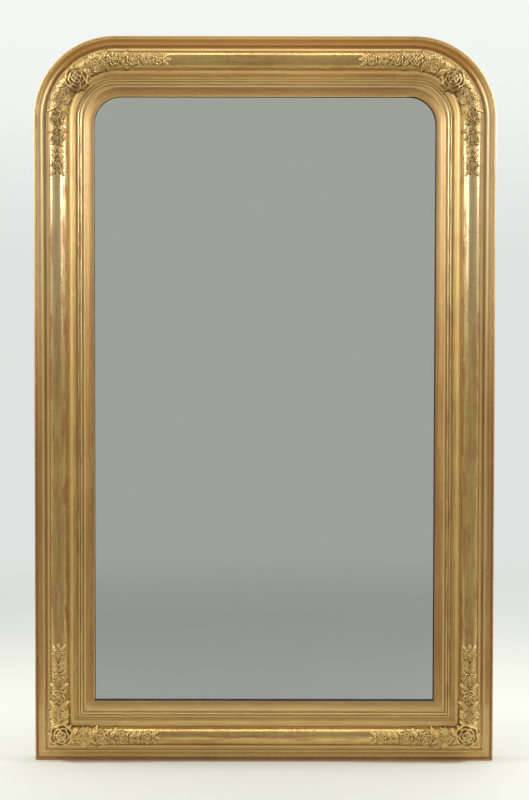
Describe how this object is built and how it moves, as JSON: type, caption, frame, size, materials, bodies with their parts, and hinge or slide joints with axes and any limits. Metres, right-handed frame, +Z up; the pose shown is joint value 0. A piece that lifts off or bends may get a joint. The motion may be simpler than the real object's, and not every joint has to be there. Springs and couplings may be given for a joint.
{
  "type": "framed wall mirror",
  "caption": "Tall gilt framed mirror with rounded top corners, cast rose sprays on the corners and swinging ring hangers behind.",
  "frame": {"origin": "middle of the bottom rail's underside, half way through the back frame's thickness", "axes": "+Z up along the frame's height, +X to the right seen from the front, -Y out of the glass towards the viewer"},
  "size_m": [0.67, 0.0571, 1.055],
  "materials": {
    "gilt_moulding": "gold leaf on gesso over carved wood, burnished on the half round, worn to red clay",
    "gilt_casting": "gold leaf on cast composition, dark in the hollows",
    "pine_frame": "bare old pine, planed",
    "pine_boards": "bare old pine, sawn",
    "peg_wood": "bare wood",
    "glass": "clear plate glass",
    "silvering": "silvered back of the plate",
    "nail_iron": "dark iron",
    "hanger_brass": "dull brass"
  },
  "bodies": {
    "frame": {"left_moulding": "gilt_moulding", "right_moulding": "gilt_moulding", "top_moulding": "gilt_moulding", "bottom_moulding": "gilt_moulding", "top_left_corner_moulding": "gilt_moulding", "top_right_corner_moulding": "gilt_moulding", "left_sight_moulding": "gilt_moulding", "right_sight_moulding": "gilt_moulding", "top_sight_moulding": "gilt_moulding", "bottom_sight_moulding": "gilt_moulding", "top_left_corner_sight_moulding": "gilt_moulding", "top_right_corner_sight_moulding": "gilt_moulding", "top_left_rose": "gilt_casting", "top_left_rail_spray": "gilt_casting", "top_left_stile_spray": "gilt_casting", "top_right_rose": "gilt_casting", "top_right_rail_spray": "gilt_casting", "top_right_stile_spray": "gilt_casting", "bottom_left_rose": "gilt_casting", "bottom_left_rail_spray": "gilt_casting", "bottom_left_stile_spray": "gilt_casting", "bottom_right_rose": "gilt_casting", "bottom_right_rail_spray": "gilt_casting", "bottom_right_stile_spray": "gilt_casting", "left_stile": "pine_frame", "right_stile": "pine_frame", "top_rail": "pine_frame", "bottom_rail": "pine_frame", "back_board_1": "pine_boards", "back_board_2": "pine_boards", "back_board_3": "pine_boards", "back_board_4": "pine_boards", "back_board_5": "pine_boards", "lap_pegs": "peg_wood", "glue_blocks": "peg_wood", "mirror_plate": "glass", "silvering": "silvering", "back_board_nails": "nail_iron", "hanger_screws": "nail_iron", "hanger_strap_left": "hanger_brass", "hanger_strap_right": "hanger_brass"},
    "ring_left": {"hanger_ring_left": "hanger_brass"},
    "ring_right": {"hanger_ring_right": "hanger_brass"}
  },
  "joints": [
    {"name": "ring_left_swing", "type": "hinge", "parent": "frame", "child": "ring_left", "pos_m": [-0.297, 0.01218, 0.85], "axis": [1, 0, 0], "range_deg": [0, 180]},
    {"name": "ring_right_swing", "type": "hinge", "parent": "frame", "child": "ring_right", "pos_m": [0.297, 0.01218, 0.85], "axis": [1, 0, 0], "range_deg": [0, 180]}
  ]
}
